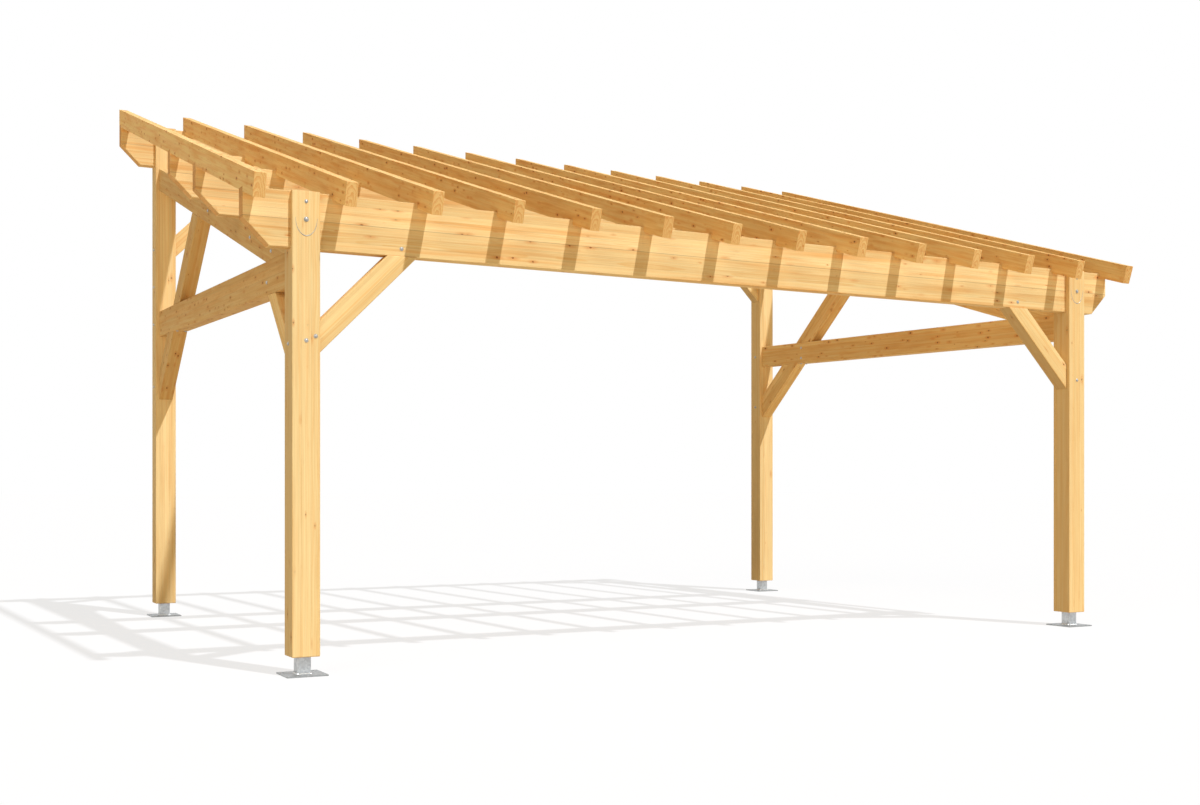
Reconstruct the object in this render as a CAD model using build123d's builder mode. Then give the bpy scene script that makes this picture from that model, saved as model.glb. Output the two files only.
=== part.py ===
# A timber carport with a single-pitch roof, left as an open frame: four posts on
# steel shoes carry two purlins, the end frames carry two more, and rafters lie over all.
# X runs along the purlins, the low front side faces -Y, and Z is up. The origin lies on
# the ground, under the middle of the whole outline. Lengths are millimetres.

from math import cos, radians, sin, sqrt, tan
import os

from build123d import *

# Plan and pitch of the frame
bay_length = 5600.0
bay_depth = 3850.0
clear_height = 2245.0
roof_pitch = 17.6

# Posts and their steel shoes
post_side = 150.0
shoe_height = 100.0
shoe_plate_side = 220.0
shoe_plate_thickness = 8.0
shoe_tube_side = 75.0
shoe_tube_wall = 5.0
shoe_tube_corner = 8.0
anchor_spacing = 164.0
anchor_hole_radius = 7.0

# Purlins, with the lower corner of each end cut off
purlin_width = 80.0
purlin_height = 298.0
purlin_overhang = 250.0
purlin_end_cut = 140.0
upper_purlin_share = 0.50
lower_purlin_share = 0.30

# Rafters, notched over the purlins
rafter_count = 14
rafter_width = 63.0
rafter_depth = 125.0
rafter_notch = 30.0
eaves_overhang = 250.0

# Timbers of the end frames and the braces
frame_timber_width = 100.0
tie_height = 190.0
tie_rise = 100.0
principal_depth = 160.0
principal_drop = 12.0
brace_depth = 120.0
front_brace_leg = 550.0
rear_brace_leg = 690.0
short_brace_depth = 110.0
short_brace_leg = 445.0
strut_depth = 155.0
strut_angle = 40.0
strut_foot_drop = 385.0

# Places worked out from the sizes above
slope = tan(radians(roof_pitch))
half_post = post_side / 2
half_purlin = purlin_width / 2
rear_reach = max(half_post, shoe_plate_side / 2)
front_reach = half_purlin + eaves_overhang
outline_depth = front_reach + bay_depth + rear_reach
front_y = front_reach - outline_depth / 2
rear_y = front_y + bay_depth
left_x = -bay_length / 2
right_x = bay_length / 2
purlin_length = bay_length + post_side + 2 * purlin_overhang
front_post_back = front_y + half_post
rear_post_front = rear_y - half_post
end_frame_clear = rear_post_front - front_post_back
tie_slope = tie_rise / end_frame_clear

upper_purlin_y = front_y + upper_purlin_share * bay_depth
lower_purlin_y = front_y + lower_purlin_share * bay_depth


def purlin_underside(y):
    """Height of the underside of a purlin whose middle lies at y."""
    return clear_height + (y - front_y) * slope


def rafter_underside(y):
    """Height of the sloping underside of the rafters at y."""
    front_face = front_y - half_purlin
    return clear_height + purlin_height - rafter_notch + (y - front_face) * slope


def principal_top(y):
    """Height of the sloping top of the principals at y."""
    front_face = front_y - half_purlin
    return clear_height - principal_drop + (y - front_face) * slope


def tie_top(y):
    """Height of the top of the tie beams at y, a little higher at the rear."""
    return clear_height + (y - front_post_back) * tie_slope


def tie_bottom(y):
    """Height of the underside of the tie beams at y."""
    return tie_top(y) - tie_height


purlin_places = {
    "front_purlin": front_y,
    "lower_middle_purlin": lower_purlin_y,
    "upper_middle_purlin": upper_purlin_y,
    "rear_purlin": rear_y,
}

os.makedirs("parts", exist_ok=True)


def finish(piece, name):
    """Label one piece and write it to its own file."""
    piece.part.label = name
    export_step(piece.part, f"parts/{name}.step")
    print(name, round(piece.part.volume))


def make_shoe(name, x, y):
    """A welded steel shoe: an anchor plate with four holes under a square tube."""
    with BuildPart() as shoe:
        with BuildSketch():
            with Locations((x, y)):
                Rectangle(shoe_plate_side, shoe_plate_side)
                with GridLocations(anchor_spacing, anchor_spacing, 2, 2):
                    Circle(anchor_hole_radius, mode=Mode.SUBTRACT)
        extrude(amount=shoe_plate_thickness)
        with BuildSketch(Plane.XY.offset(shoe_plate_thickness)):
            with Locations((x, y)):
                tube_bore = shoe_tube_side - 2 * shoe_tube_wall
                RectangleRounded(shoe_tube_side, shoe_tube_side, shoe_tube_corner)
                Rectangle(tube_bore, tube_bore, mode=Mode.SUBTRACT)
        extrude(amount=shoe_height - shoe_plate_thickness)
    finish(shoe, name)


def make_post(name, x, y):
    """A square post whose head is slotted so that two cheeks clasp the purlin."""
    seat = purlin_underside(y)
    with BuildPart() as post:
        with BuildSketch(Plane.XY.offset(shoe_height)):
            with Locations((x, y)):
                Rectangle(post_side, post_side)
        extrude(amount=seat + purlin_height - shoe_height)
        with BuildSketch(Plane.YZ.offset(x)):
            with Locations((y, seat + purlin_height / 2)):
                Rectangle(purlin_width, purlin_height)
        extrude(amount=half_post, both=True, mode=Mode.SUBTRACT)
    finish(post, name)


def make_purlin(name, y):
    """A deep purlin on edge, its two lower end corners cut off at 45 degrees."""
    with BuildPart() as purlin:
        with BuildSketch(Plane.XZ.offset(-y)) as side:
            with Locations((0, purlin_underside(y) + purlin_height / 2)):
                Rectangle(purlin_length, purlin_height)
            chamfer(side.vertices().group_by(Axis.Y)[0], length=purlin_end_cut)
        extrude(amount=half_purlin, both=True)
    finish(purlin, name)


def cut_purlin_seats(places):
    """Take the section of each purlin in places out of the sketch being drawn."""
    for y in places:
        with Locations((y, purlin_underside(y) + purlin_height / 2)):
            Rectangle(purlin_width, purlin_height, mode=Mode.SUBTRACT)


def make_rafter(name, x):
    """A rafter: plumb at the rear, square at the eaves, notched over every purlin."""
    plumb_depth = rafter_depth / cos(radians(roof_pitch))
    rear_end = rear_y + half_purlin
    eaves_end = front_y - front_reach
    square_lean = rafter_depth * sin(radians(roof_pitch))
    square_drop = rafter_depth * cos(radians(roof_pitch))
    rear_low = rafter_underside(rear_end)
    eaves_top = rafter_underside(eaves_end) + plumb_depth
    with BuildPart() as rafter:
        with BuildSketch(Plane.YZ.offset(x)):
            with BuildLine():
                Polyline(
                    (rear_end, rear_low),
                    (rear_end, rear_low + plumb_depth),
                    (eaves_end, eaves_top),
                    (eaves_end + square_lean, eaves_top - square_drop),
                    close=True,
                )
            make_face()
            cut_purlin_seats(purlin_places.values())
        extrude(amount=rafter_width / 2, both=True)
    finish(rafter, name)


def make_principal(name, x):
    """A sloping principal from the rear post down to a long bevelled foot on the tie."""
    plumb_depth = principal_depth / cos(radians(roof_pitch))
    rear_top = principal_top(rear_post_front)
    rear_low = rear_top - plumb_depth
    heel_y = rear_post_front - (rear_low - tie_top(rear_post_front)) / (slope - tie_slope)
    with BuildPart() as principal:
        with BuildSketch(Plane.YZ.offset(x)):
            with BuildLine():
                Polyline(
                    (rear_post_front, rear_low),
                    (rear_post_front, rear_top),
                    (front_post_back, principal_top(front_post_back)),
                    (front_post_back, tie_top(front_post_back)),
                    (heel_y, tie_top(heel_y)),
                    close=True,
                )
            make_face()
            cut_purlin_seats([lower_purlin_y, upper_purlin_y])
        extrude(amount=frame_timber_width / 2, both=True)
    finish(principal, name)


def make_tie(name, x):
    """A tie beam between the front and the rear post, cut plumb at both."""
    with BuildPart() as tie:
        with BuildSketch(Plane.YZ.offset(x)):
            with BuildLine():
                Polyline(
                    (front_post_back, tie_bottom(front_post_back)),
                    (rear_post_front, tie_bottom(rear_post_front)),
                    (rear_post_front, tie_top(rear_post_front)),
                    (front_post_back, tie_top(front_post_back)),
                    close=True,
                )
            make_face()
        extrude(amount=frame_timber_width / 2, both=True)
    finish(tie, name)


def make_brace(name, x, y, towards, leg):
    """A 45-degree brace from the inner face of a post up to the underside of its purlin."""
    inner_leg = leg - brace_depth * sqrt(2)
    face_x = x + towards * half_post
    top = purlin_underside(y)
    with BuildPart() as brace:
        with BuildSketch(Plane.XZ.offset(-y)):
            with BuildLine():
                Polyline(
                    (face_x, top - leg),
                    (face_x, top - inner_leg),
                    (face_x + towards * inner_leg, top),
                    (face_x + towards * leg, top),
                    close=True,
                )
            make_face()
        extrude(amount=frame_timber_width / 2, both=True)
    finish(brace, name)


def make_short_brace(name, x):
    """A short 45-degree brace from the back of the front post to the underside of the tie."""
    inner_leg = short_brace_leg - short_brace_depth * sqrt(2)
    inner_y = front_post_back + inner_leg
    outer_y = front_post_back + short_brace_leg
    with BuildPart() as brace:
        with BuildSketch(Plane.YZ.offset(x)):
            with BuildLine():
                Polyline(
                    (front_post_back, tie_bottom(front_post_back) - short_brace_leg),
                    (front_post_back, tie_bottom(front_post_back) - inner_leg),
                    (inner_y, tie_bottom(inner_y)),
                    (outer_y, tie_bottom(outer_y)),
                    close=True,
                )
            make_face()
        extrude(amount=frame_timber_width / 2, both=True)
    finish(brace, name)


def make_strut(name, x, outline):
    """One length of the leaning strut of an end frame, mitred to what it meets."""
    with BuildPart() as strut:
        with BuildSketch(Plane.YZ.offset(x)):
            with BuildLine():
                Polyline(*outline, close=True)
            make_face()
        extrude(amount=frame_timber_width / 2, both=True)
    finish(strut, name)


# The strut leans forward from the rear post and is cut through by the tie
strut_slope = tan(radians(strut_angle))
strut_half_rise = strut_depth / cos(radians(strut_angle)) / 2
tie_top_at_post = tie_top(rear_post_front)
tie_bottom_at_post = tie_bottom(rear_post_front)
principal_low_at_post = principal_top(rear_post_front) - principal_depth / cos(radians(roof_pitch))
upper_edge_foot = tie_bottom_at_post - strut_foot_drop + strut_half_rise
lower_edge_foot = tie_bottom_at_post - strut_foot_drop - strut_half_rise


def strut_meets(edge_foot, height_at_post, fall):
    """The point at which an edge of the strut meets a timber's face that falls to the front."""
    run = (height_at_post - edge_foot) / (strut_slope + fall)
    return (rear_post_front - run, edge_foot + run * strut_slope)


lower_strut = [
    (rear_post_front, lower_edge_foot),
    (rear_post_front, upper_edge_foot),
    strut_meets(upper_edge_foot, tie_bottom_at_post, tie_slope),
    strut_meets(lower_edge_foot, tie_bottom_at_post, tie_slope),
]
upper_strut = [
    strut_meets(lower_edge_foot, tie_top_at_post, tie_slope),
    strut_meets(upper_edge_foot, tie_top_at_post, tie_slope),
    strut_meets(upper_edge_foot, principal_low_at_post, slope),
    strut_meets(lower_edge_foot, principal_low_at_post, slope),
]

# Posts, shoes and corner braces
for side, post_x, inward in (("left", left_x, 1), ("right", right_x, -1)):
    for end, post_y, leg in (("front", front_y, front_brace_leg), ("rear", rear_y, rear_brace_leg)):
        make_shoe(f"{end}_{side}_post_shoe", post_x, post_y)
        make_post(f"{end}_{side}_post", post_x, post_y)
        make_brace(f"{end}_{side}_brace", post_x, post_y, inward, leg)

# Timbers of the two end frames
for side, frame_x in (("left", left_x), ("right", right_x)):
    make_tie(f"{side}_tie_beam", frame_x)
    make_principal(f"{side}_principal", frame_x)
    make_strut(f"{side}_lower_strut", frame_x, lower_strut)
    make_strut(f"{side}_upper_strut", frame_x, upper_strut)
make_short_brace("left_tie_brace", left_x)

# Purlins and the rafters over them
for purlin_name, purlin_y in purlin_places.items():
    make_purlin(purlin_name, purlin_y)

rafter_step = (purlin_length - rafter_width) / (rafter_count - 1)
for number in range(rafter_count):
    rafter_x = (rafter_width - purlin_length) / 2 + number * rafter_step
    make_rafter(f"rafter_{number + 1:02d}", rafter_x)
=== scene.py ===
# %% [markdown]
# # An open timber carport frame
# The packed frame holds every post, purlin, rafter and brace at its true size and place.
# Nothing here moves those solids. Each one is copied, its edges are softened, and the copy
# gets a finish, so the picture shows real timber while the measured frame stays as it is.

# %% Load the packed frame
import math
import random

import bmesh
import bpy
from mathutils import Matrix, Vector


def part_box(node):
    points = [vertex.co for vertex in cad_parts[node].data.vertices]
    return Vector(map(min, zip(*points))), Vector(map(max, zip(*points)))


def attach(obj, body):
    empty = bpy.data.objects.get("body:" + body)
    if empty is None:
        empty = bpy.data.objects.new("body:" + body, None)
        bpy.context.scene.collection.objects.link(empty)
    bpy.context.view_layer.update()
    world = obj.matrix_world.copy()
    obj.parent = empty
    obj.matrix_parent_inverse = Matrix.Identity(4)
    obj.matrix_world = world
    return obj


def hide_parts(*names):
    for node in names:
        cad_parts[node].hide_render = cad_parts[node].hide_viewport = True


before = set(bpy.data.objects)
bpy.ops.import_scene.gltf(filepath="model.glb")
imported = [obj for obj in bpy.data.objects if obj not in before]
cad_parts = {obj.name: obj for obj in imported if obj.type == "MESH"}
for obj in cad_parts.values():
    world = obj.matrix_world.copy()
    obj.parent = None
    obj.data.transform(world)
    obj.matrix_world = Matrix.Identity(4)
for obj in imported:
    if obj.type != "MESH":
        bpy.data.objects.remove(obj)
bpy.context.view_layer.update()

print("nodes in the frame:", len(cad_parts))

# %% [markdown]
# ## The camera
# The picture was taken from about a metre above the ground, level, with upright posts.
# Tilting a camera up would make the posts lean, so it stays level and the lens is shifted
# upwards instead, as on an architect's camera. The focal length is worked out in pixels
# of the picture and then turned into millimetres on a 36 mm wide sensor.

# %% Camera at the angle of the picture
picture_width = 1200
picture_height = 805
focal_pixels = 1376
horizon_row = 489
camera_place = Vector((-4.824, -8.99, 0.981))
camera_turn = math.radians(28.0)
camera_reach = 800.0

lens = bpy.data.cameras.new("picture_camera")
lens.sensor_width = 36.0
lens.lens = lens.sensor_width * focal_pixels / picture_width
lens.shift_y = (horizon_row - picture_height / 2) / picture_width
lens.clip_end = camera_reach
camera = bpy.data.objects.new("picture_camera", lens)
camera.location = camera_place
camera.rotation_euler = (math.radians(90), 0, -camera_turn)
bpy.context.scene.collection.objects.link(camera)
bpy.context.scene.camera = camera
print("lens in millimetres:", round(lens.lens, 1), "shift:", round(lens.shift_y, 3))

# %% [markdown]
# ## Sorting the pieces
# A carpenter would stack this timber by use: posts, deep purlins, slim rafters, braces and
# the timbers of the two end frames. The names of the nodes already say which is which, so
# a list for each stack is enough, and a whole stack can then be given one finish.

# %% Stacks of like pieces
node_names = sorted(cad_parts)


def ending(*ends):
    """The names of the nodes that end in one of these words."""
    return [name for name in node_names if name.endswith(ends)]


shoes = ending("_post_shoe")
posts = ending("_post")
purlins = ending("_purlin")
braces = ending("_brace")
rafters = [name for name in node_names if name.startswith("rafter_")]
frame_timbers = ending("_tie_beam", "_principal", "_lower_strut", "_upper_strut")
left_frame = [name for name in frame_timbers if name.startswith("left")]
right_frame = [name for name in frame_timbers if name.startswith("right")]
print(len(shoes), "shoes,", len(posts), "posts,", len(purlins), "purlins,", len(rafters), "rafters,")
print(len(braces), "braces,", len(left_frame), "and", len(right_frame), "timbers of the end frames")

# %% [markdown]
# ## Softened arrises
# A planed timber never has a knife edge: the mill eases every arris by a few millimetres.
# A bevel modifier could do that, but it would be worked out again for every render. Here
# the solid is copied into a bmesh, its triangles are joined back into whole faces, and
# only the outward edges are rounded, so notches stay sharp and the copy stays inside the
# measured solid.

# %% Copy a solid
merge_distance = 0.00002
flat_angle = math.radians(1.0)


def plain_form(node):
    """A working copy of one packed solid, with its triangles joined into whole faces."""
    form = bmesh.new()
    form.from_mesh(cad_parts[node].data)
    bmesh.ops.remove_doubles(form, verts=form.verts, dist=merge_distance)
    bmesh.ops.dissolve_limit(form, angle_limit=flat_angle, verts=form.verts, edges=form.edges)
    return form


trial = plain_form("front_purlin")
print("faces of the front purlin:", len(trial.faces))
trial.free()

# %% Ease its edges and show it
sharp_angle = math.radians(12.0)
arris_steps = 3
round_profile = 0.5


def ease_arrises(form, size):
    """Round every outward edge of the form by a few millimetres."""
    arrises = [
        edge
        for edge in form.edges
        if edge.is_manifold and edge.is_convex and edge.calc_face_angle() > sharp_angle
    ]
    bmesh.ops.bevel(
        form,
        geom=arrises,
        offset=size,
        offset_type="OFFSET",
        segments=arris_steps,
        profile=round_profile,
        affect="EDGES",
        clamp_overlap=True,
    )


def new_piece(name, form):
    """Turn a working form into an object in the scene that rides on the frame."""
    mesh = bpy.data.meshes.new(name)
    form.to_mesh(mesh)
    form.free()
    piece = bpy.data.objects.new(name, mesh)
    bpy.context.scene.collection.objects.link(piece)
    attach(piece, "root")
    return piece


print("steps that round an arris:", arris_steps)

# %% [markdown]
# ## Where the grain runs
# Wood figure is a slice through a solid: the same rings make long stripes on a side and
# arcs on an end. Flat pictures on the faces would not meet at the edges, so the finish
# is a solid texture, and each timber needs its own coordinates: how far along the grain,
# how deep and how far across. They are stored on the vertices, because a brace at 45
# degrees then needs no special case. A second value gives each timber its own number,
# and a third says how much a face shows end grain.

# %% Store the grain on a timber
narrow_share = 0.9


def grain_axes(form):
    """The directions of a timber: along its grain, through its lamellae and across them."""
    longest = max(form.edges, key=lambda edge: edge.calc_length())
    along = (longest.verts[1].co - longest.verts[0].co).normalized()
    span_x = max(vert.co.x for vert in form.verts) - min(vert.co.x for vert in form.verts)
    span_y = max(vert.co.y for vert in form.verts) - min(vert.co.y for vert in form.verts)
    across = Vector((1, 0, 0)) if span_x < narrow_share * span_y else Vector((0, 1, 0))
    return along, along.cross(across).normalized(), across


def middle_of(node):
    """The middle of a node's box."""
    low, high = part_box(node)
    return (low + high) / 2


def store_grain(mesh, axes, middle, number):
    """Write the grain coordinates, the timber's number and its end grain on a mesh."""
    place = mesh.attributes.new("grain_place", "FLOAT_VECTOR", "POINT")
    for vertex, entry in zip(mesh.vertices, place.data):
        entry.vector = [(vertex.co - middle).dot(axis) for axis in axes]
    mark = mesh.attributes.new("timber_number", "FLOAT", "POINT")
    mark.data.foreach_set("value", [number] * len(mesh.vertices))
    ends = mesh.attributes.new("end_grain", "FLOAT", "CORNER")
    for face in mesh.polygons:
        share = abs(face.normal.dot(axes[0]))
        for corner in face.loop_indices:
            ends.data[corner].value = share


trial = plain_form("front_purlin")
print("grain of the front purlin:", [round(value, 2) for value in grain_axes(trial)[0]])
trial.free()

# %% [markdown]
# ## A short way to wire a material
# Node materials get long when every node and link takes three lines. This small class
# holds the nodes of one material, or of the sky, and offers one call for each kind of
# node, so the finishes below can be read almost like sums.

# %% Screen colours in linear light
screen_full = 255
toe_end = 0.04045
toe_slope = 12.92
curve_shift = 0.055
curve_power = 2.4
pale_spruce = (250, 214, 150)


def linear(red, green, blue):
    """A colour given as screen values from 0 to 255, turned into linear light."""
    light = []
    for value in (red, green, blue):
        share = value / screen_full
        if share <= toe_end:
            light.append(share / toe_slope)
        else:
            light.append(((share + curve_shift) / (1 + curve_shift)) ** curve_power)
    return (*light, 1.0)


print("a pale spruce in linear light:", [round(value, 2) for value in linear(*pale_spruce)])

# %% A helper that wires nodes
class Finish:
    """The nodes of a material or a sky, with short calls that add one and hand back its output."""

    def __init__(self, owner):
        owner.use_nodes = True
        self.owner = owner
        self.nodes = owner.node_tree.nodes
        self.links = owner.node_tree.links
        self.shader = self.nodes.get("Principled BSDF")

    def feed(self, socket, value):
        if isinstance(value, bpy.types.NodeSocket):
            self.links.new(value, socket)
        else:
            socket.default_value = value

    def add(self, kind, inputs, **settings):
        node = self.nodes.new(kind)
        for key, value in settings.items():
            setattr(node, key, value)
        for key, value in inputs.items():
            self.feed(node.inputs[key], value)
        return node

    def attribute(self, name, output):
        return self.add("ShaderNodeAttribute", {}, attribute_name=name).outputs[output]

    def sum(self, operation, *values):
        return self.add("ShaderNodeMath", dict(enumerate(values)), operation=operation).outputs[0]

    def vector(self, *values):
        return self.add("ShaderNodeCombineXYZ", dict(enumerate(values))).outputs[0]

    def split(self, vector):
        return self.add("ShaderNodeSeparateXYZ", {0: vector}).outputs

    def steps(self, operation, first, second):
        values = {0: first, 1: second}
        return self.add("ShaderNodeVectorMath", values, operation=operation).outputs[0]

    def length(self, vector, scales):
        scaled = self.steps("MULTIPLY", vector, scales)
        return self.add("ShaderNodeVectorMath", {0: scaled}, operation="LENGTH").outputs["Value"]

    def noise(self, place, detail=2.0, scale=1.0):
        values = {"Vector": place, "Scale": scale, "Detail": detail}
        return self.add("ShaderNodeTexNoise", values).outputs[0]

    def chance(self, place):
        return self.split(self.add("ShaderNodeTexWhiteNoise", {0: place}).outputs["Color"])

    def cells(self, place):
        return self.add("ShaderNodeTexVoronoi", {"Vector": place, "Scale": 1.0}).outputs

    def spread(self, value, low, high, to_low=0.0, to_high=1.0):
        values = {0: value, 1: low, 2: high, 3: to_low, 4: to_high}
        return self.add("ShaderNodeMapRange", values, interpolation_type="SMOOTHSTEP").outputs[0]

    def blend(self, share, first, second, way="MIX"):
        values = {0: share, 6: first, 7: second}
        return self.add("ShaderNodeMix", values, data_type="RGBA", blend_type=way).outputs[2]

    def mix(self, share, first, second):
        return self.add("ShaderNodeMixShader", {0: share, 1: first, 2: second}).outputs[0]

    def bump(self, height, strength, distance):
        values = {"Strength": strength, "Distance": distance, "Height": height}
        return self.add("ShaderNodeBump", values).outputs[0]


print("calls of a finish:", [name for name in vars(Finish) if not name.startswith("_")])

# %% [markdown]
# ## Lamellae
# Timbers as deep as these are glued up from planks laid one on another. Each plank, or
# lamella, came from another tree, so it differs a little in tone and figure, and a thin
# glue line parts it from the next. The planks could be meshes of their own, but the
# frame holds each timber as one solid. So the depth coordinate is rounded to whole
# planks, which gives each one a number, and white noise turns that number into its own
# random values.

# %% Planks in a glued timber
plank_middle = 0.5


def lamella_marks(finish, deep, number, thickness, middle_shift, glue_width):
    """For a point in a glued timber: its depth in its plank, three chances, a glue line."""
    step = finish.sum("ADD", finish.sum("DIVIDE", deep, thickness), middle_shift)
    index = finish.sum("FLOOR", step)
    share = finish.sum("SUBTRACT", step, finish.sum("ADD", index, plank_middle))
    inside = finish.sum("MULTIPLY", share, thickness)
    chances = finish.chance(finish.vector(index, number, 0.0))
    to_joint = finish.sum("SUBTRACT", thickness / 2, finish.sum("ABSOLUTE", inside))
    glue = finish.spread(to_joint, glue_width, 0.0)
    return inside, chances, glue


print("from a joint to the middle of its plank:", plank_middle, "planks")

# %% [markdown]
# ## Growth rings
# Spruce lays down a pale soft band in spring and a narrow darker band in summer. Seen in
# a plank these are slices of tubes around the pith. A wave texture could draw them round
# one straight axis, but a real pith wanders and lies elsewhere in each plank. So the
# distance from it is worked out and counted in rings, which gives arches on flat-sawn
# faces, fine stripes on quarter-sawn ones and arcs on the ends, all from one sum.

# %% Rings around a wandering pith
pith_bend = 0.03
pith_bend_rate = 0.55
bend_seed = 40.0
noise_middle = 0.5


def growth_rings(finish, place, inside, chances, number, pith, swirl):
    """The radius from a wandering pith at a point, bent round knots, in metres."""
    along, _, across = place
    pith_low, pith_high, pith_side, arch = pith
    bend_place = finish.vector(
        finish.sum("MULTIPLY", along, pith_bend_rate),
        finish.sum("MULTIPLY", chances[0], bend_seed),
        number,
    )
    bend = finish.sum("SUBTRACT", finish.noise(bend_place), noise_middle)
    bend = finish.sum("MULTIPLY", bend, pith_bend * 2)
    pith_deep = finish.spread(chances[0], 0.0, 1.0, pith_low, pith_high)
    pith_across = finish.spread(chances[1], 0.0, 1.0, -pith_side, pith_side)
    off_deep = finish.sum("ADD", finish.sum("SUBTRACT", inside, pith_deep), bend)
    off_deep = finish.sum("MULTIPLY", off_deep, arch)
    off_across = finish.sum("ADD", finish.sum("SUBTRACT", across, pith_across), bend)
    squares = finish.sum("MULTIPLY", off_deep, off_deep)
    radius = finish.sum("SQRT", finish.sum("MULTIPLY_ADD", off_across, off_across, squares))
    return finish.sum("ADD", radius, swirl)


print("the pith wanders by up to", pith_bend, "metres")

# %% Years and groups of years
waver_rates = (1.4, 30.0, 30.0)
waver_rings = 1.6
group_rate = 85.0
group_detail = 1.0


def stretched(finish, place, rates, number):
    """Coordinates drawn out along the grain and shifted for each timber."""
    along, deep, across = place
    return finish.vector(
        finish.sum("MULTIPLY_ADD", along, rates[0], number),
        finish.sum("MULTIPLY", deep, rates[1]),
        finish.sum("MULTIPLY_ADD", across, rates[2], number),
    )


def year_and_group(finish, radius, place, number, ring_gap):
    """How far a point lies into its year, and how dark its group of years is."""
    waver = finish.noise(stretched(finish, place, waver_rates, number))
    years = finish.sum("DIVIDE", radius, ring_gap)
    year = finish.sum("FRACT", finish.sum("MULTIPLY_ADD", waver, waver_rings, years))
    drift = finish.sum("MULTIPLY_ADD", waver, waver_rings * ring_gap, radius)
    group_place = finish.vector(finish.sum("MULTIPLY", drift, group_rate), number, 0.0)
    return year, finish.noise(group_place, group_detail)


print("a group of years is about", round(1 / group_rate, 3), "metres wide")

# %% [markdown]
# ## Knots
# A knot is the root of a branch, so it is a short rod inside the wood and the saw cuts it
# at random. Placing knots by hand would take a list for every timber. Scattered cells in
# space do it by themselves: each cell has one centre, and where a face passes close to
# that centre a knot shows. The rings bend round it, which a swirl added to their radius
# imitates.

# %% Scattered knots
knot_seed = 37.0
keep_edge = 0.01
least_luck = 0.2
heart_stretch = 1.2
heart_core_share = 0.55
stain_stretch = 3.0
stain_reach = 2.4
stain_cell_span = (0.55, 0.3)
swirl_reach = 0.006


def scattered_knots(finish, place, chances, number, gaps, share, sizes):
    """The heart of a knot, the stain drawn out from it, and how far it bends the rings."""
    along, deep, across = place
    gap_along, gap_across = gaps
    shift = finish.sum("MULTIPLY", chances[2], knot_seed)
    cell_place = finish.vector(
        finish.sum("MULTIPLY_ADD", along, 1 / gap_along, number),
        finish.sum("MULTIPLY_ADD", deep, 1 / gap_across, shift),
        finish.sum("MULTIPLY_ADD", across, 1 / gap_across, shift),
    )
    spots = finish.cells(cell_place)
    luck = finish.split(spots["Color"])
    kept = finish.spread(luck[0], 1.0 - share - keep_edge, 1.0 - share)
    size = finish.sum("MULTIPLY", kept, finish.spread(luck[1], least_luck, 1.0, *sizes))
    offset = finish.steps("SUBTRACT", cell_place, spots["Position"])
    heart_away = finish.length(offset, (gap_along / heart_stretch, gap_across, gap_across))
    stain_away = finish.length(offset, (gap_along / stain_stretch, gap_across, gap_across))
    heart = finish.spread(heart_away, size, finish.sum("MULTIPLY", size, heart_core_share))
    stain = finish.spread(stain_away, finish.sum("MULTIPLY", size, stain_reach), 0.0)
    stain = finish.sum("MULTIPLY", stain, finish.spread(spots["Distance"], *stain_cell_span))
    return heart, stain, finish.sum("MULTIPLY", stain, swirl_reach)


print("a stain reaches", round(stain_stretch * stain_reach, 1), "knot radii along the grain")

# %% [markdown]
# ## The spruce finish
# Now the parts come together. The colour starts as pale spring wood, darkens with each
# ring, shifts from plank to plank, and takes warm streaks, mottling, knots and glue lines.
# Sawn ends drink more stain, so they get colours of their own: darker on posts, purlins
# and frames, which also paints shade on those ends, and pale on the rafters, painted light
# that stands in for light the lamps don't give those ends. Summer wood is harder, so it
# stands a hair proud and shines a little more: the same ring value also drives the
# roughness and a very small bump. A tint makes the rafters a deeper honey than the posts.

# %% Marks in the wood
fibre_rates = (2.2, 210.0, 210.0)
streak_rates = (0.8, 24.0, 24.0)
mottle_rates = (3.2, 38.0, 38.0)
fine_detail = 3.0
mottle_detail = 4.0
end_span = (0.5, 0.8)
summer_rise = (0.25, 0.9)
summer_fall = (1.0, 0.93)


def wood_marks(finish, planks, ring_gap, pith, knots):
    """Everything that shows in the wood at a point, each as one value."""
    place = finish.split(finish.attribute("grain_place", "Vector"))
    number = finish.attribute("timber_number", "Fac")
    ends = finish.spread(finish.attribute("end_grain", "Fac"), *end_span)
    inside, chances, glue = lamella_marks(finish, place[1], number, *planks)
    heart, stain, swirl = scattered_knots(finish, place, chances, number, *knots)
    radius = growth_rings(finish, place, inside, chances, number, pith, swirl)
    year, group = year_and_group(finish, radius, place, number, ring_gap)
    rise = finish.spread(year, *summer_rise)
    fall = finish.spread(year, *summer_fall)
    return {
        "deep": place[1],
        "luck": chances[2],
        "ends": ends,
        "glue": glue,
        "stain": stain,
        "heart": finish.sum("MULTIPLY", heart, finish.sum("SUBTRACT", 1.0, ends)),
        "group": group,
        "summer": finish.sum("MULTIPLY", rise, fall),
        "fibre": finish.noise(stretched(finish, place, fibre_rates, number), fine_detail),
        "streak": finish.noise(stretched(finish, place, streak_rates, number), fine_detail),
        "mottle": finish.noise(stretched(finish, place, mottle_rates, number), mottle_detail),
    }


print("fibres are drawn out", round(fibre_rates[1] / fibre_rates[0]), "times along the grain")

# %% Colour of the clear wood
spring_wood = (255, 232, 178)
summer_wood = (245, 198, 126)
group_wood = (247, 201, 130)
warm_streak = (240, 180, 104)
mottle_wood = (232, 172, 100)
group_span = (0.42, 0.72)
group_share = 0.55
streak_span = 0.24
mottle_span = (0.4, 0.75)


def tinted(colour, tint):
    """A colour of the wood in the tone of one batch of timber."""
    return linear(*(value * share for value, share in zip(colour, tint)))


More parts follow.
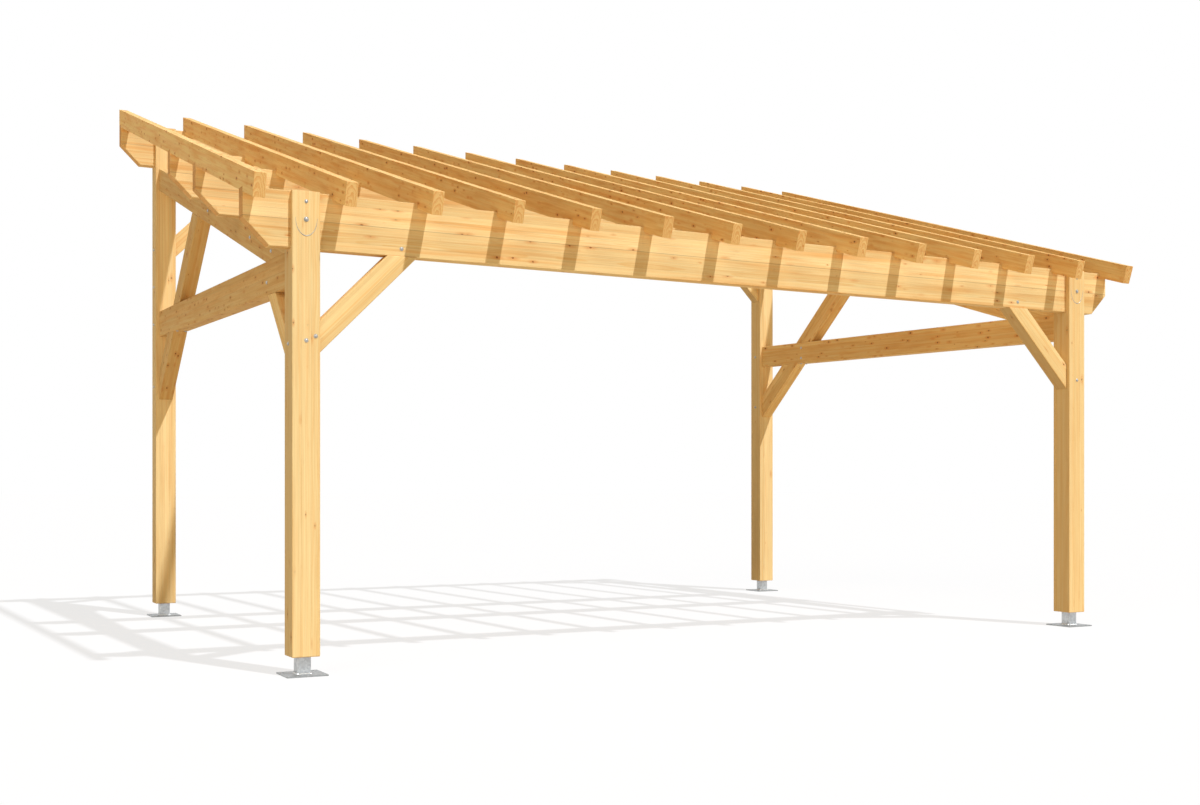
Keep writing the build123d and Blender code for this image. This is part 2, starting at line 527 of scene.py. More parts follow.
def clear_wood(finish, marks, tint, ring_depth, streaks, mottling):
    """Spring wood that darkens with rings and groups of years, streaks and mottling."""
    ring_share = finish.sum("MULTIPLY", marks["summer"], ring_depth)
    colour = finish.blend(ring_share, tinted(spring_wood, tint), tinted(summer_wood, tint))
    group_fill = finish.spread(marks["group"], *group_span, 0.0, group_share)
    colour = finish.blend(group_fill, colour, tinted(group_wood, tint))
    streak_start, streak_share = streaks
    streak_end = streak_start + streak_span
    streak_fill = finish.spread(marks["streak"], streak_start, streak_end, 0.0, streak_share)
    colour = finish.blend(streak_fill, colour, tinted(warm_streak, tint))
    mottle_fill = finish.spread(marks["mottle"], *mottle_span, 0.0, mottling)
    return finish.blend(mottle_fill, colour, tinted(mottle_wood, tint))


print("spring wood in linear light:", [round(value, 2) for value in linear(*spring_wood)])

# %% Ends, planks, knots and glue lines
fibre_span = (0.3, 0.7)
fibre_tones = (0.95, 1.03)
green_power = 1.3
blue_power = 1.8
stain_wood = (220, 138, 66)
stain_share = 0.7
heart_share = 0.9
glue_tone = (158, 132, 98)
middle_joint_shares = (0.6, 0.4)


def sawn_ends_with_painted_light(finish, marks, colour, end_tones):
    """Colours of their own on the sawn ends, from end_tones: darker end grain that also paints shade,
    and pale painted light on the rafter ends.
    """
    spring_end, summer_end = end_tones
    end_colour = finish.blend(marks["summer"], linear(*spring_end), linear(*summer_end))
    return finish.blend(marks["ends"], colour, end_colour)


def plank_tones(finish, marks, colour, low, high):
    """Planks and fibres that are a little darker are also a little warmer."""
    plank_tone = finish.spread(marks["luck"], 0.0, 1.0, low, high)
    fibre_tone = finish.spread(marks["fibre"], *fibre_span, *fibre_tones)
    tone = finish.sum("MULTIPLY", plank_tone, fibre_tone)
    green = finish.sum("POWER", tone, green_power)
    blue = finish.sum("POWER", tone, blue_power)
    return finish.blend(1.0, colour, finish.vector(tone, green, blue), "MULTIPLY")


def knots_and_glue(finish, marks, colour, tint, heart_wood, plank, glue_low, glue_high):
    """Stained knots, and glue lines that show most at the middle of a timber."""
    stain_fill = finish.sum("MULTIPLY", marks["stain"], stain_share)
    colour = finish.blend(stain_fill, colour, tinted(stain_wood, tint))
    heart_fill = finish.sum("MULTIPLY", marks["heart"], heart_share)
    colour = finish.blend(heart_fill, colour, tinted(heart_wood, tint))
    off_middle = finish.sum("ABSOLUTE", marks["deep"])
    far, near = (plank * share for share in middle_joint_shares)
    near_middle = finish.spread(off_middle, far, near, glue_low, glue_high)
    glue_fill = finish.sum("MULTIPLY", marks["glue"], near_middle)
    return finish.blend(glue_fill, colour, tinted(glue_tone, tint))


print("glue lines show most within", middle_joint_shares[1], "planks of the middle")

# %% The whole spruce finish
spring_roughness = 0.78
summer_roughness = 0.64
wood_specular = 0.12
fibre_relief = 0.7
summer_relief = 0.5
relief_strength = 0.35
relief_height = 0.0006


def planed_surface(finish, marks):
    """Roughness and a very small relief from the same rings and fibres."""
    rough = finish.spread(marks["summer"], 0.0, 1.0, spring_roughness, summer_roughness)
    finish.feed(finish.shader.inputs["Roughness"], rough)
    finish.shader.inputs["Specular IOR Level"].default_value = wood_specular
    summer = finish.sum("MULTIPLY", marks["summer"], summer_relief)
    relief = finish.sum("MULTIPLY_ADD", marks["fibre"], fibre_relief, summer)
    relief = finish.sum("SUBTRACT", relief, marks["glue"])
    normal = finish.bump(relief, relief_strength, relief_height)
    finish.feed(finish.shader.inputs["Normal"], normal)


def spruce(name, planks, tones, rings, knots, heart_wood, streaks, mottling, tint, end_tones):
    """Planed spruce for one stack of timbers, with lengths in metres.

    planks: how thick they are, where their joints lie, how wide a glue line is
    tones: the darkest and the lightest plank, glue lines away from the middle and at it
    rings: how wide a year is, how strongly summer wood shows, where the pith lies
    knots: their gaps along and across, the share that shows, the least and largest radius
    streaks: the noise at which they start, how strong they are
    """
    finish = Finish(bpy.data.materials.new(name))
    plank_low, plank_high, glue_low, glue_high = tones
    ring_gap, ring_depth, pith = rings
    marks = wood_marks(finish, planks, ring_gap, pith, knots)
    colour = clear_wood(finish, marks, tint, ring_depth, streaks, mottling)
    colour = sawn_ends_with_painted_light(finish, marks, colour, end_tones)
    colour = plank_tones(finish, marks, colour, plank_low, plank_high)
    colour = knots_and_glue(finish, marks, colour, tint, heart_wood, planks[0], glue_low, glue_high)
    finish.feed(finish.shader.inputs["Base Color"], colour)
    planed_surface(finish, marks)
    return finish.owner


print("depth of the relief in metres:", relief_height)

# %% [markdown]
# ## One finish for each stack
# Posts are glued from three planks and purlins from six, the timbers of the end frames
# from four. Rafters are single sawn pieces with the pith just below their section, so
# their rings stand as tall arches on the ends. Rafters also have the most knots, purlins
# have redder ones, and braces are cleaner stock with few. Each batch of timber has its
# own tone: the left end frame came from a browner one. The right end frame is made paler
# than the left as painted light, for the side light it loses under the roof. Copies of one
# material could be changed by hand, but one function called with other values keeps them alike.

# %% How the timbers are glued up
post_planks = 3
purlin_planks = 6
frame_plank = 0.0475
whole_timber = 0.5
plank_in_middle = 0.5
joint_in_middle = 0.0
size_digits = 4


def plank_size(node, axis, count):
    """How thick each plank is when a side of a node is glued from that many."""
    low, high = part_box(node)
    return round(high[axis] - low[axis], size_digits) / count


post_plank = plank_size("front_left_post", 0, post_planks)
purlin_plank = plank_size("front_purlin", 2, purlin_planks)
print("planks in metres:", round(post_plank, 4), round(purlin_plank, 4), frame_plank)

# %% Finishes for posts, purlins and rafters
plank_pith = (-0.09, 0.09, 0.06, 1.0)
arched_pith = (-0.085, -0.07, 0.006, 0.3)
dark_heart = (88, 44, 18)
red_heart = (146, 78, 36)
# End colours: the darker pair is end grain and partly painted shade; the pale pair on the rafters is
# painted light.
shaded_ends = ((230, 180, 116), (204, 148, 86))
pale_ends_painted_light = ((252, 212, 146), (240, 182, 112))

post_finish = spruce(
    "spruce_posts",
    planks=(post_plank, plank_in_middle, 0.0009),
    tones=(0.94, 1.02, 0.3, 0.3),
    rings=(0.0046, 0.32, plank_pith),
    knots=((0.2, 0.07), 0.75, (0.0028, 0.0085)),
    heart_wood=dark_heart,
    streaks=(0.54, 0.36),
    mottling=0.18,
    tint=(1.0, 1.0, 1.0),
    end_tones=shaded_ends,
)
purlin_finish = spruce(
    "spruce_purlins",
    planks=(purlin_plank, joint_in_middle, 0.002),
    tones=(0.89, 1.035, 0.22, 0.85),
    rings=(0.0043, 0.55, plank_pith),
    knots=((0.13, 0.06), 0.75, (0.003, 0.0098)),
    heart_wood=red_heart,
    streaks=(0.47, 0.68),
    mottling=0.25,
    tint=(1.0, 1.0, 1.0),
    end_tones=shaded_ends,
)
rafter_finish = spruce(
    "spruce_rafters",
    planks=(whole_timber, plank_in_middle, 0.0004),
    tones=(0.93, 1.03, 0.0, 0.0),
    rings=(0.011, 0.4, arched_pith),
    knots=((0.07, 0.038), 0.95, (0.0022, 0.0078)),
    heart_wood=dark_heart,
    streaks=(0.54, 0.36),
    mottling=0.6,
    tint=(0.98, 0.93, 0.85),
    end_tones=pale_ends_painted_light,
)
print("spruce finishes:", [one.name for one in (post_finish, purlin_finish, rafter_finish)])

# %% Finishes for braces and end frames
def frame_spruce(name, tint, knot_share, mottling):
    """Spruce for the shorter glued timbers, which differ in tone, knots and mottling."""
    return spruce(
        name,
        planks=(frame_plank, joint_in_middle, 0.0009),
        tones=(0.91, 1.03, 0.2, 0.55),
        rings=(0.0044, 0.38, plank_pith),
        knots=((0.09, 0.045), knot_share, (0.0025, 0.0088)),
        heart_wood=dark_heart,
        streaks=(0.52, 0.42),
        mottling=mottling,
        tint=tint,
        end_tones=shaded_ends,
    )


brace_finish = frame_spruce("spruce_braces", (1.0, 0.99, 0.97), 0.35, 0.2)
left_frame_finish = frame_spruce("spruce_left_frame", (0.9, 0.862, 0.8), 0.95, 0.45)
# Paler tint on the right end frame: painted light for the side light it loses to the structure and the
# roof.
right_frame_painted_light_finish = frame_spruce("spruce_right_frame_painted_light", (0.965, 0.93, 0.875), 0.95, 0.45)
print("frame finishes:", [one.name for one in (brace_finish, left_frame_finish, right_frame_painted_light_finish)])

# %% [markdown]
# ## Dressing the timbers
# One function takes a node through all the steps above. The arris is a little larger on
# the thick posts than on the slim rafters, as it is on planed timber. Each copy replaces
# its node, so the solid itself stays hidden in its place.

# %% Dress every timber
post_arris = 0.0045
purlin_arris = 0.004
rafter_arris = 0.003
frame_arris = 0.004
number_range = 90.0


def dress_timber(node, arris, finish):
    """Replace one packed timber with an eased copy that knows its grain."""
    form = plain_form(node)
    axes = grain_axes(form)
    ease_arrises(form, arris)
    piece = new_piece(node + "_timber", form)
    number = random.Random(node).uniform(0.0, number_range)
    store_grain(piece.data, axes, middle_of(node), number)
    piece.data.materials.append(finish)
    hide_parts(node)
    return piece


stacks = (
    (posts, post_arris, post_finish, "spruce_posts"),
    (purlins, purlin_arris, purlin_finish, "spruce_purlins"),
    (rafters, rafter_arris, rafter_finish, "spruce_rafters"),
    (braces, frame_arris, brace_finish, "spruce_frame_timbers"),
    (left_frame, frame_arris, left_frame_finish, "spruce_frame_timbers"),
    (right_frame, frame_arris, right_frame_painted_light_finish, "spruce_frame_timbers"),
)
for nodes, arris, finish, slot in stacks:
    faces = [len(dress_timber(node, arris, finish).data.polygons) for node in nodes]
    print(finish.name, "pieces:", len(faces), "faces:", sum(faces))

# %% [markdown]
# ## Galvanised steel
# Hot-dip zinc sets in flat crystals, so a galvanised plate shows pale patches a
# centimetre or so across, each with its own tone and gloss. A picture of zinc would have
# to be unwrapped onto every shoe. Cells in space need no such step and give the patches,
# a broader noise clouds them, and a fine one roughens the surface. Bolts are duller than
# the tubes, so they take the same finish in darker tones. The plates take darker tones
# too, which paint shade on them, and the tubes pale ones, which paint light where the post shades them.

# %% Zinc crystals on steel
# Pale tube tones paint light on the tubes, which the post shades from the sun; darker plate tones paint
# shade on the plates.
tube_tones_with_painted_light = (linear(176, 180, 182), linear(216, 219, 220))
plate_tones_with_painted_shade = (linear(146, 149, 150), linear(180, 183, 184))
bolt_tones = (linear(156, 156, 153), linear(200, 200, 197))
crystal_rate = 85.0
crystal_share = 0.55
cloud_share = 0.45
cloud_detail = 4.0
cloud_rate = 14.0
dull_roughness = 0.5
bright_roughness = 0.34
zinc_metallic = 0.85
grit_detail = 3.0
grit_rate = 420.0
grit_strength = 0.12
grit_height = 0.0004


def galvanised(name, tones):
    """Galvanised steel with crystals, clouded by handling."""
    finish = Finish(bpy.data.materials.new(name))
    place = finish.add("ShaderNodeTexCoord", {}).outputs["Object"]
    crystals = finish.cells(finish.steps("MULTIPLY", place, (crystal_rate,) * 3))
    luck = finish.split(crystals["Color"])[0]
    cloud = finish.noise(place, cloud_detail, cloud_rate)
    clouding = finish.sum("MULTIPLY", cloud, cloud_share)
    share = finish.sum("MULTIPLY_ADD", luck, crystal_share, clouding)
    finish.feed(finish.shader.inputs["Base Color"], finish.blend(share, *tones))
    rough = finish.spread(share, 0.0, 1.0, dull_roughness, bright_roughness)
    finish.feed(finish.shader.inputs["Roughness"], rough)
    finish.shader.inputs["Metallic"].default_value = zinc_metallic
    grit = finish.noise(place, grit_detail, grit_rate)
    normal = finish.bump(grit, grit_strength, grit_height)
    finish.feed(finish.shader.inputs["Normal"], normal)
    return finish.owner


shoe_zinc_with_painted_light = galvanised("galvanised_shoes_painted_light", tube_tones_with_painted_light)
plate_zinc_with_painted_shade = galvanised("galvanised_plates_painted_shade", plate_tones_with_painted_shade)
bolt_finish = galvanised("galvanised_bolts", bolt_tones)
print("steel finishes:", shoe_zinc_with_painted_light.name, plate_zinc_with_painted_shade.name, bolt_finish.name)

# %% [markdown]
# ## Post shoes
# Each post stands clear of the wet ground on a short square tube, welded to a plate.
# The packed shoe has the right form, so it is eased like the timbers, and only the weld
# is added: a bead of small overlapping ripples that runs round the foot of the tube. It
# goes onto a fresh copy of the eased form, so that its faces are listed last, and in the
# same order on every run. The faces of the plate take the darker zinc, which paints shade on them.

# %% A bead of weld
weld_size = 0.006
ripple_length = 0.0045
ripple_height = 0.0009
ripple_steps = 4
weld_hollow = 1.5
weld_points = 7


def square_walk(middle, half, corner, step):
    """Points and outward directions round a square with rounded corners."""
    walk = []
    straight = 2 * (half - corner)
    for side in range(4):
        turn = Matrix.Rotation(side * math.pi / 2, 3, "Z")
        count = max(2, round(straight / step))
        for index in range(count):
            slide = -straight / 2 + straight * index / count
            walk.append((middle + turn @ Vector((half, slide, 0)), turn @ Vector((1, 0, 0))))
        bends = max(2, round(corner * math.pi / 2 / step))
        for index in range(bends):
            angle = math.pi / 2 * index / bends
            out = Vector((math.cos(angle), math.sin(angle), 0))
            start = Vector((half - corner, half - corner, 0))
            walk.append((middle + turn @ (start + corner * out), turn @ out))
    return walk


def add_weld(form, walk, foot):
    """A rippled fillet of weld metal along a closed walk at the foot of a wall."""
    rings = []
    for index, (point, out) in enumerate(walk):
        swell = weld_size + ripple_height * math.sin(2 * math.pi * index / ripple_steps)
        ring = []
        for step in range(weld_points):
            angle = math.pi / 2 * step / (weld_points - 1)
            reach = swell * math.cos(angle) ** weld_hollow
            rise = swell * math.sin(angle) ** weld_hollow
            ring.append(form.verts.new(point + out * reach + Vector((0, 0, foot + rise))))
        rings.append(ring)
    for ring, following in zip(rings, rings[1:] + rings[:1]):
        for step in range(weld_points - 1):
            form.faces.new((ring[step], following[step], following[step + 1], ring[step + 1]))


print("ripples in a metre of weld:", round(1 / ripple_length))

# %% Shoes with a weld round the tube
shoe_arris = 0.0012
level_digits = 5


def tube_measures(form, middle):
    """The plate's thickness, the tube's half side and its corner, read from the packed shoe."""
    heights = sorted({round(vert.co.z, level_digits) for vert in form.verts})
    tops = [vert.co - middle for vert in form.verts if vert.co.z > heights[-1] - merge_distance]
    half = max(point.x for point in tops)
    flats = [abs(point.y) for point in tops if point.x > half - merge_distance]
    return heights[1], half, half - max(flats)


for node in shoes:
    form = plain_form(node)
    low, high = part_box(node)
    middle = Vector(((low.x + high.x) / 2, (low.y + high.y) / 2, 0))
    plate, half_tube, tube_corner = tube_measures(form, middle)
    ease_arrises(form, shoe_arris)
    steel = form.copy()
    form.free()
    walk = square_walk(middle, half_tube, tube_corner, ripple_length / ripple_steps)
    add_weld(steel, walk, plate)
    piece = new_piece(node + "_steel", steel)
    piece.data.materials.append(shoe_zinc_with_painted_light)
    piece.data.materials.append(plate_zinc_with_painted_shade)
    # Plate faces take the darker zinc, painted shade; the tube keeps the pale zinc, painted light.
    for face in piece.data.polygons:
        face.material_index = 1 if face.center.z < plate + merge_distance else 0
    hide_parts(node)
print("shoes:", len(shoes), "tube in metres:", round(2 * half_tube, 4), "plate:", round(plate, 4))

# %% [markdown]
# ## Bolts through the joints
# The main joints are drawn tight by galvanised bolts. The side that shows has a low domed head
# on a washer, and the far side a nut on another washer with the end of the thread. A screw
# that ends inside a timber has only its head. All of these are round or six-sided, so one
# function turns a short profile about the axis of the bolt, and each post and each end
# frame gets its bolts as one joined mesh.

# %% Turn a profile about an axis
washer_shares = ((1.42, 0.0), (1.42, 0.16), (1.36, 0.22), (0.0, 0.22))
round_sides = 24


def turned(form, shares, size, place, out, sides):
    """Turn a profile, given in shares of a size, about an axis that points out of a face."""
    turn = out.to_track_quat("Z", "Y").to_matrix()
    rings = []
    for reach, rise in shares:
        spots = []
        for step in range(sides):
            angle = 2 * math.pi * step / sides
            spot = Vector((reach * math.cos(angle), reach * math.sin(angle), rise))
            spots.append(form.verts.new(place + turn @ spot * size))
        rings.append(spots)
    for ring, following in zip(rings, rings[1:]):
        for step in range(sides):
            after = (step + 1) % sides
            form.faces.new((ring[step], ring[after], following[after], following[step]))
    form.faces.new(rings[0][::-1])
    bmesh.ops.remove_doubles(form, verts=rings[-1], dist=merge_distance)


trial = bmesh.new()
turned(trial, washer_shares, 1.0, Vector((0, 0, 0)), Vector((0, 0, 1)), round_sides)
print("faces of one washer:", len(trial.faces))
trial.free()

# %% Heads, nuts and threads
dome_rim_shares = ((1.0, 0.0), (1.0, 0.12), (0.94, 0.3))
dome_shares = (*dome_rim_shares, (0.78, 0.48), (0.5, 0.6), (0.2, 0.65), (0.0, 0.66))
nut_shares = ((0.98, 0.0), (1.1, 0.1), (1.1, 0.72), (0.98, 0.84), (0.58, 0.84))
thread_shares = ((0.56, 0.0), (0.56, 1.16), (0.48, 1.24), (0.0, 1.24))
washer_rise = 0.22
nut_sides = 6


def add_head(form, place, out, size):
    """A domed head on its washer, on a face that looks out."""
    turned(form, washer_shares, size, place, out, round_sides)
    turned(form, dome_shares, size, place + out * washer_rise * size, out, round_sides)


def add_bolt(form, start, end, size):
    """One bolt from its domed head at start through the timber to its nut at end."""
    way = (end - start).normalized()
    add_head(form, start, -way, size)
    turned(form, washer_shares, size, end, way, round_sides)
    turned(form, nut_shares, size, end + way * washer_rise * size, way, nut_sides)
    turned(form, thread_shares, size, end + way * washer_rise * size, way, round_sides)


def finish_steel(name, form):
    """Make a steel piece that rides on the frame."""
    piece = new_piece(name, form)
    piece.data.materials.append(bolt_finish)
    return piece


trial = bmesh.new()
add_bolt(trial, Vector((0, 0, 0)), Vector((0, 1, 0)), 1.0)
print("faces of one bolt:", len(trial.faces))
trial.free()

# %% [markdown]
# ## Where the bolts sit
# Two bolts go through the head of each post and its purlin, one or two through each front
# post at the foot of its brace, and one where each post's brace meets the purlin. A screw
# goes into the outer side of each post near the foot of that brace. Rear posts also have
# bolts where the tie and the strut end, and one more screw above the tie. Typed places
# would be shorter, but these come from the boxes of the timbers that a bolt joins, so
# they follow the frame when a size in it changes.

# %% Bolts and screws in a post
def across_post(form, post, x, z, size):
    """A bolt from the front of a post to its back."""
    low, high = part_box(post)
    add_bolt(form, Vector((x, low.y, z)), Vector((x, high.y, z)), size)


def outer_and_inner(node, outward):
    """Where a timber has its outer and its inner side, along the length of the frame."""
    low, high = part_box(node)
    return (low.x, high.x) if outward < 0 else (high.x, low.x)


def along_post(form, post, z, outward, size):
    """A bolt from the outer side of a post to its inner side."""
    outer, inner = outer_and_inner(post, outward)
    middle = middle_of(post).y
    add_bolt(form, Vector((outer, middle, z)), Vector((inner, middle, z)), size)


def side_screw(form, post, z, outward, size):
    """A screw into the outer side of a post."""
    place = Vector((outer_and_inner(post, outward)[0], middle_of(post).y, z))
    add_head(form, place, Vector((outward, 0, 0)), size)


sides = outer_and_inner("front_left_post", -1)
print("outer and inner side of the front left post:", [round(side, 3) for side in sides])

# %% More bolts in the rear posts
small_size = 0.0078
strut_rise = 0.1
tie_drop = 0.095
spare_share = 0.55


def rear_bolts(form, side, outward, brace_foot):
    """Bolts where the tie and the strut end on a rear post, and a screw above the tie."""
    post = f"rear_{side}_post"
    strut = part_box(f"{side}_lower_strut")
    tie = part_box(f"{side}_tie_beam")
    strut_z = strut[0].z + strut_rise
    tie_z = tie[1].z - tie_drop
    for z in (strut_z, tie_z):
        along_post(form, post, z, outward, small_size)
    spare_z = tie_z + spare_share * (brace_foot - tie_z)
    side_screw(form, post, spare_z, outward, small_size)


print("radius of a small head in metres:", small_size)

# %% Bolts of the four posts
head_size = 0.0092
pin_size = 0.007
head_drops = ((0.056, pin_size), (0.15, head_size))
foot_rises = (0.064, 0.089)
foot_slide = 0.05
side_rise = 0.05
purlin_rise = 0.042
brace_head_share = 0.16


def post_bolts(end, side, outward):
    """All the bolts and screws of one post."""
    form = bmesh.new()
    post = f"{end}_{side}_post"
    purlin_low, purlin_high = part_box(f"{end}_purlin")
    brace_low, brace_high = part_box(f"{end}_{side}_brace")
    middle_x = middle_of(post).x
    for drop, size in head_drops:
        across_post(form, post, middle_x, purlin_high.z - drop, size)
    if end == "front":
        across_post(form, post, middle_x, brace_low.z + foot_rises[0], small_size)
    if end == "front" and side == "left":
        slid_x = middle_x - outward * foot_slide
        across_post(form, post, slid_x, brace_low.z + foot_rises[1], small_size)
    side_screw(form, post, brace_low.z + side_rise, outward, small_size)
    head_x = brace_high.x if outward < 0 else brace_low.x
    head_x += outward * (brace_high.x - brace_low.x) * brace_head_share
    head_z = purlin_low.z + purlin_rise
    head_start = Vector((head_x, purlin_low.y, head_z))
    head_end = Vector((head_x, purlin_high.y, head_z))
    add_bolt(form, head_start, head_end, small_size)
    if end == "rear":
        rear_bolts(form, side, outward, brace_low.z)
    return finish_steel(f"{end}_{side}_post_bolts", form)


for side, outward in (("left", -1), ("right", 1)):
    for end in ("front", "rear"):
        made = post_bolts(end, side, outward)
        print(made.name, "faces:", len(made.data.polygons))

# %% [markdown]
# ## Bolts of the end frames
# Three bolts run across each sloping principal, and a screw goes into the outer side of
# the tie near the foot of the principal. Where the tie cuts the strut, two screws go in
# from the inner side and two from below, just in front of the strut. These timbers slope,
# so their boxes don't say how high they are at a place: that is worked out along the
# grain, from the rear end.

# %% Heights of a sloping timber
def levels_at(node, y):
    """The underside and the top of a timber at y, from its rear end and its grain."""
    form = plain_form(node)
    along = grain_axes(form)[0]
    rear = max(vert.co.y for vert in form.verts)
    levels = [vert.co.z for vert in form.verts if vert.co.y > rear - merge_distance]
    form.free()
    rise = (y - rear) * along.z / along.y
    return min(levels) + rise, max(levels) + rise


def middle_height(node, y):
    """The middle height of a timber at y."""
    return sum(levels_at(node, y)) / 2


levels = levels_at("left_tie_beam", middle_of("left_tie_beam").y)
print("underside and top of the left tie half way:", [round(level, 3) for level in levels])

# %% Bolts through ties and principals
principal_shares = (0.1, 0.23, 0.535)
foot_share = 0.125
crossing_rise = 0.046
under_gap = 0.038
under_slide = 0.03


def across_frame(form, node, y, z, outward):
    """A bolt from the outer to the inner face of a timber of an end frame."""
    outer, inner = outer_and_inner(node, outward)
    add_bolt(form, Vector((outer, y, z)), Vector((inner, y, z)), small_size)


def crossing_screws(form, side, outward):
    """Screws where the tie cuts the strut: two from the inner side, two from below."""
    tie = f"{side}_tie_beam"
    y = (middle_of(f"{side}_lower_strut").y + middle_of(f"{side}_upper_strut").y) / 2
    inner = outer_and_inner(tie, outward)[1]
    for rise in (-crossing_rise, crossing_rise):
        place = Vector((inner, y, middle_height(tie, y) + rise))
        add_head(form, place, Vector((-outward, 0, 0)), small_size)
    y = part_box(f"{side}_lower_strut")[0].y - under_gap
    for slide in (-under_slide, under_slide):
        place = Vector((middle_of(tie).x + slide, y, levels_at(tie, y)[0]))
        add_head(form, place, Vector((0, 0, -1)), small_size)


for side, outward in (("left", -1), ("right", 1)):
    form = bmesh.new()
    principal, tie = f"{side}_principal", f"{side}_tie_beam"
    low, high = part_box(principal)
    for share in principal_shares:
        y = low.y + share * (high.y - low.y)
        across_frame(form, principal, y, middle_height(principal, y), outward)
    foot_y = low.y + foot_share * (high.y - low.y)
    foot_z = middle_height(tie, foot_y) - crossing_rise / 2
    foot_place = Vector((outer_and_inner(tie, outward)[0], foot_y, foot_z))
    add_head(form, foot_place, Vector((outward, 0, 0)), small_size)
    crossing_screws(form, side, outward)
    made = finish_steel(f"{side}_end_frame_bolts", form)
    print(made.name, "faces:", len(made.data.polygons))

# %% [markdown]
# ## Curved edges on the post heads
# Below the lower head bolt a slim grey line hangs on the front of each front post, the
# edge of a rounded steel fitting let into the wood. A bevelled curve could draw it. Here a
# half ellipse is walked in code and a small half-round is built along it, because the same
# loop gives the joined mesh directly and can make the line finer where it sinks into the
# wood at its two upper ends.

# %% Let-in edges on the front posts
edge_lift = 0.008
edge_half_width = 0.058
edge_drop = 0.094
edge_radius = 0.0021
edge_sink_share = 0.3
edge_steps = 28
edge_sides = 6


def add_head_edge(form, place):
    """A slim half-round along a hanging half ellipse on a face that looks to the front."""
    rings = []
    for step in range(edge_steps + 1):
        angle = math.pi * step / edge_steps
        spot = Vector((-edge_half_width * math.cos(angle), 0, -edge_drop * math.sin(angle)))
        side = Vector((-math.cos(angle) * edge_drop, 0, -math.sin(angle) * edge_half_width)).normalized()
        radius = edge_radius * (edge_sink_share + (1 - edge_sink_share) * math.sin(angle))
        ring = []
        for turn in range(edge_sides + 1):
            bend = math.pi * turn / edge_sides
            lift = side * math.cos(bend) + Vector((0, -1, 0)) * math.sin(bend)
            ring.append(form.verts.new(place + spot + lift * radius))
        rings.append(ring)
    for ring, following in zip(rings, rings[1:]):
        for turn in range(edge_sides):
            form.faces.new((ring[turn], ring[turn + 1], following[turn + 1], following[turn]))
    form.faces.new(rings[0])
    form.faces.new(rings[-1][::-1])
    form.normal_update()


for side in ("left", "right"):
    post = f"front_{side}_post"
    face_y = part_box(post)[0].y
    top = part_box("front_purlin")[1].z
    form = bmesh.new()
    edge_top = top - head_drops[1][0] + edge_lift
    add_head_edge(form, Vector((middle_of(post).x, face_y, edge_top)))
    made = finish_steel(f"front_{side}_head_edge", form)
    print(made.name, "faces:", len(made.data.polygons))

# %% [markdown]
# ## Plain floor and background
# The picture stands on white, and only a faint shadow shows where the ground is. A shadow
# catcher could give that, but its picture has to be laid over white afterwards. So the
# floor is a large pale sheet. Camera rays see it almost white, with a share of true
# diffuse light left in so that the shadow stays, while the light that bounces up to the
# timbers comes from a warm pale tone.

# %% A floor that looks white
floor_white_share = 0.76
floor_bounce = (0.78, 0.66, 0.46, 1.0)
floor_seen = (0.95, 0.95, 0.97, 1.0)


def seen_directly(finish):
    """One where a ray comes straight from the camera, a mirror or a glass, else zero."""
    path = finish.add("ShaderNodeLightPath", {}).outputs
    seen = finish.sum("MAXIMUM", path["Is Camera Ray"], path["Is Glossy Ray"])
    return finish.sum("MAXIMUM", seen, path["Is Transmission Ray"])


def floor_finish():
    """White to the camera but for its shadows, a warm pale tone to every other ray."""
    finish = Finish(bpy.data.materials.new("plain_floor"))
    finish.nodes.remove(finish.shader)
    bounce = finish.add("ShaderNodeBsdfDiffuse", {"Color": floor_bounce}).outputs[0]
    seen = finish.add("ShaderNodeBsdfDiffuse", {"Color": floor_seen}).outputs[0]
    white = finish.add("ShaderNodeEmission", {}).outputs[0]
    lifted = finish.mix(floor_white_share, seen, white)
    chosen = finish.mix(seen_directly(finish), bounce, lifted)
    finish.feed(finish.nodes["Material Output"].inputs["Surface"], chosen)
    return finish.owner


print("share of white in the floor that the camera sees:", floor_white_share)

# %% Floor sheet
floor_reach = 300.0
floor_drop = 0.0005

corners = [(-1, -1), (1, -1), (1, 1), (-1, 1)]
sheet = bpy.data.meshes.new("plain_floor")
points = [(x * floor_reach, y * floor_reach, -floor_drop) for x, y in corners]
sheet.from_pydata(points, [], [range(len(corners))])
floor = bpy.data.objects.new("plain_floor", sheet)
floor.data.materials.append(floor_finish())
bpy.context.scene.collection.objects.link(floor)
print("floor in metres:", 2 * floor_reach)

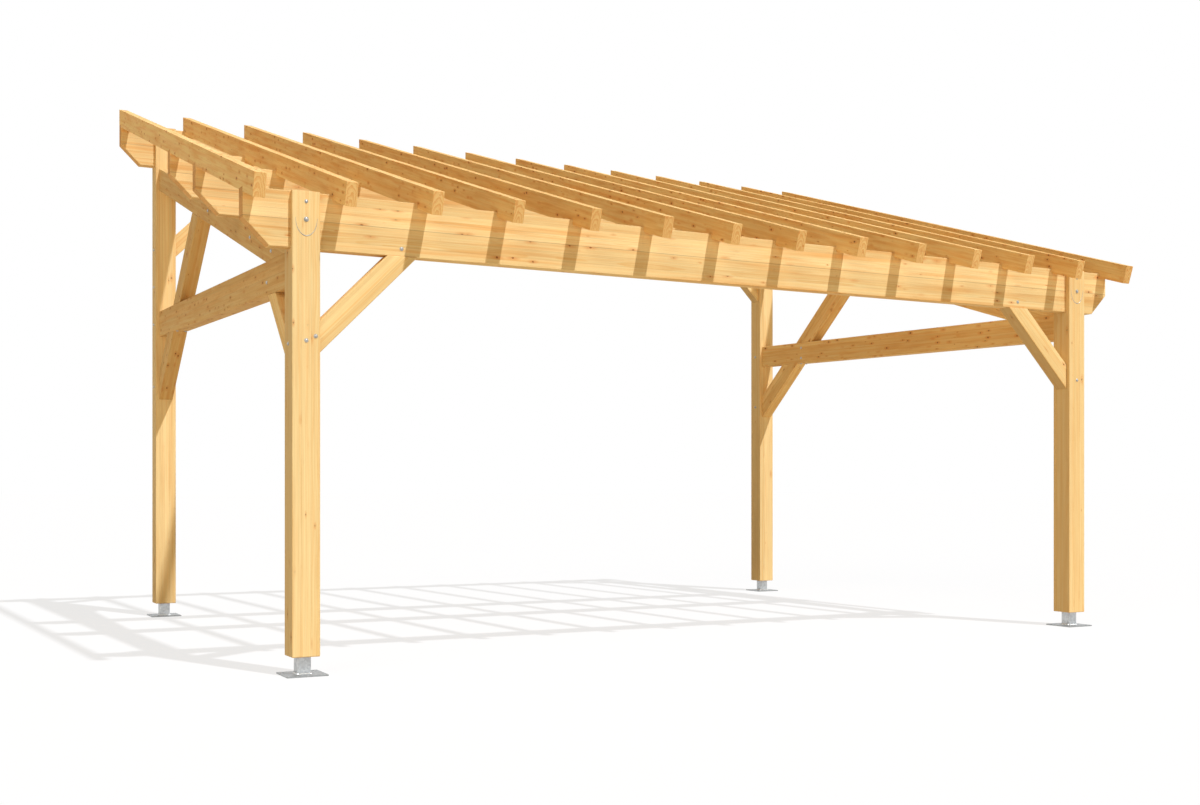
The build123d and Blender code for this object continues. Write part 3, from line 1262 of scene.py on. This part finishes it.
# %% [markdown]
# ## Light
# The sun stands high in front and a little to the right, so front faces are bright and
# each rafter throws a slanting shadow on the front purlin. A second, weaker and much
# softer light comes from the front left: it lifts the left faces, and it stands high
# enough to reach between the rafters. Both are sun lamps, because an area lamp would fade
# over the length of the frame. The sky is a plain world, faint and warm to the timbers and
# white to the camera, and the Standard view shows a colour about as it is written.

# %% Sun and soft side light
sun_strength = 3.0
sun_width = 1.2
sun_height = 58.5
sun_side = 21.0
side_strength = 0.66
side_width = 40.0
side_height = 35.0
side_side = -52.0
sun_tone = (0.98, 1.0, 1.03)
side_tone = (1.0, 0.86, 0.63)


def light_way(height, side):
    """The way light travels when it comes from a height and a side, both in degrees."""
    rise, turn = math.radians(height), math.radians(side)
    level = math.cos(rise)
    return Vector((-level * math.sin(turn), level * math.cos(turn), -math.sin(rise)))


def add_sun(name, strength, width, tone, way):
    """A lamp whose parallel rays travel the given way."""
    lamp = bpy.data.lights.new(name, "SUN")
    lamp.energy = strength
    lamp.angle = math.radians(width)
    lamp.color = tone
    holder = bpy.data.objects.new(name, lamp)
    holder.rotation_mode = "QUATERNION"
    holder.rotation_quaternion = way.to_track_quat("-Z", "Y")
    bpy.context.scene.collection.objects.link(holder)
    return holder


add_sun("sun", sun_strength, sun_width, sun_tone, light_way(sun_height, sun_side))
add_sun("side_light", side_strength, side_width, side_tone, light_way(side_height, side_side))

# %% Plain sky
sky_tone = (1.0, 0.88, 0.7, 1.0)
sky_strength = 0.14
seen_sky = (1.0, 1.0, 1.0, 1.0)

sky = Finish(bpy.data.worlds.new("plain_sky"))
bpy.context.scene.world = sky.owner
soft_sky = sky.nodes["Background"]
soft_sky.inputs["Color"].default_value = sky_tone
soft_sky.inputs["Strength"].default_value = sky_strength
white_sky = sky.add("ShaderNodeBackground", {"Color": seen_sky}).outputs[0]
chosen_sky = sky.mix(seen_directly(sky), soft_sky.outputs[0], white_sky)
sky.feed(sky.nodes["World Output"].inputs["Surface"], chosen_sky)
bpy.context.scene.view_settings.view_transform = "Standard"
print("strength of the sky on the timbers:", sky_strength)

# %% [markdown]
